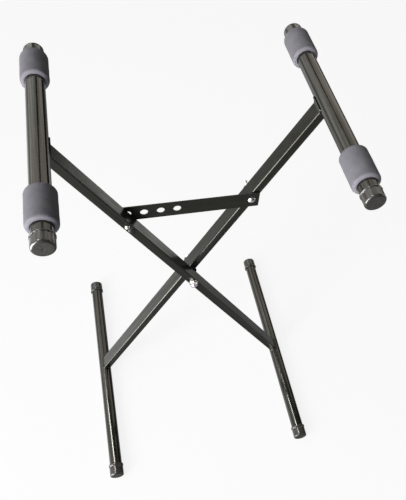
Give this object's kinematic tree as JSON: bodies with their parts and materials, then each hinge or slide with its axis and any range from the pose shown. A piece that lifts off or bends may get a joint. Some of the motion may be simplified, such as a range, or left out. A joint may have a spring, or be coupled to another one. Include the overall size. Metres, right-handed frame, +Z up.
{
  "type": "folding keyboard stand",
  "caption": "Folding X stand for an electronic keyboard: two crossed legs on one bolt, padded support tubes, capped foot tubes and a locking strap.",
  "frame": {"origin": "on the floor, at the centre of the four feet, which is the bottom centre of the overall box", "axes": "+Z up, +Y from the front leg's side to the rear leg's side, along the tubes, +X to the right seen from the front"},
  "size_m": [0.514, 0.546, 0.8395],
  "materials": {
    "frame_paint": "black gloss powder paint on steel tube",
    "strap_paint": "black satin powder paint on flat steel",
    "foam": "closed-cell foam, matt",
    "cap_plastic": "moulded black plastic, glossy",
    "cap_rubber": "moulded black rubber, satin",
    "zinc_plate": "bright zinc plated steel",
    "plain_steel": "turned steel",
    "black_steel": "black oxide steel",
    "nylon": "black nylon"
  },
  "bodies": {
    "front_frame": {"leg_front": "frame_paint", "saddle_left": "frame_paint", "weld_saddle_left": "frame_paint", "weld_foot_right": "frame_paint", "support_tube_left": "frame_paint", "foam_left_front": "foam", "foam_left_rear": "foam", "support_cap_left_front": "cap_plastic", "support_cap_left_rear": "cap_plastic", "foot_tube_right": "frame_paint", "foot_cap_right_front": "cap_rubber", "foot_cap_right_rear": "cap_rubber", "pivot_bush_front": "plain_steel", "pivot_bolt": "zinc_plate", "pivot_nut": "zinc_plate", "pivot_washer_front": "zinc_plate", "pivot_washer_rear": "zinc_plate", "pivot_spacer": "nylon", "lock_stud": "zinc_plate", "stud_block": "plain_steel", "block_rivet": "black_steel"},
    "rear_frame": {"leg_rear": "frame_paint", "saddle_right": "frame_paint", "weld_saddle_right": "frame_paint", "weld_foot_left": "frame_paint", "support_tube_right": "frame_paint", "foam_right_front": "foam", "foam_right_rear": "foam", "support_cap_right_front": "cap_plastic", "support_cap_right_rear": "cap_plastic", "foot_tube_left": "frame_paint", "foot_cap_left_front": "cap_rubber", "foot_cap_left_rear": "cap_rubber", "pivot_bush_rear": "plain_steel", "strap_bolt": "zinc_plate", "strap_bush": "plain_steel", "strap_washer_inner": "nylon", "strap_washer_outer": "zinc_plate", "strap_nut": "zinc_plate"},
    "strap": {"lock_strap": "strap_paint"}
  },
  "joints": [
    {"name": "fold", "type": "hinge", "parent": "front_frame", "child": "rear_frame", "pos_m": [0, 0, 0.40773], "axis": [0, -1, 0], "range_deg": [0, 53]},
    {"name": "strap_swing", "type": "hinge", "parent": "rear_frame", "child": "strap", "pos_m": [0.11667, 0, 0.61172], "axis": [0, -1, 0], "range_deg": [0, 53]}
  ],
  "couplings": [
    {"joint": "strap_swing", "follows": "fold", "ratio": 1}
  ]
}
